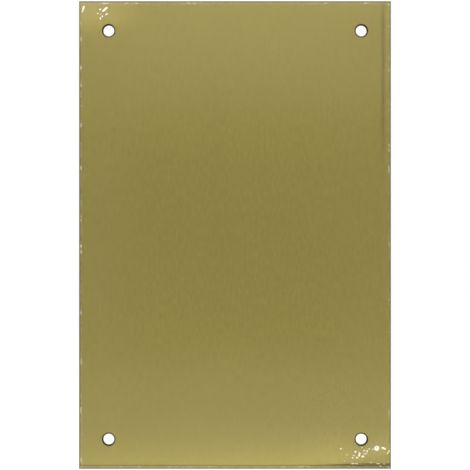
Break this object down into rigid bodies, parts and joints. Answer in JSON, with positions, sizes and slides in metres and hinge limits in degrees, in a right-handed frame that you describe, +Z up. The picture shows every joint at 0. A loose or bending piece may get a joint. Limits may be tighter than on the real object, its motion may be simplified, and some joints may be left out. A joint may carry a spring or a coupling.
{
  "type": "blank door plate",
  "caption": "Flat rectangular brushed brass plate with a fixing hole near each corner, still under its clear protective film, to be screwed to a door.",
  "frame": {"origin": "middle of the plate's back face, which lies against the door", "axes": "+Z up the plate's long side, +X across it to the right as seen from the front, and the brushed face looks towards -Y"},
  "size_m": [0.1, 0.0014, 0.15],
  "materials": {
    "brushed_brass": "satin",
    "clear_film": "gloss"
  },
  "bodies": {
    "root": {"plate": "brushed_brass", "protective_film": "clear_film"}
  },
  "joints": []
}
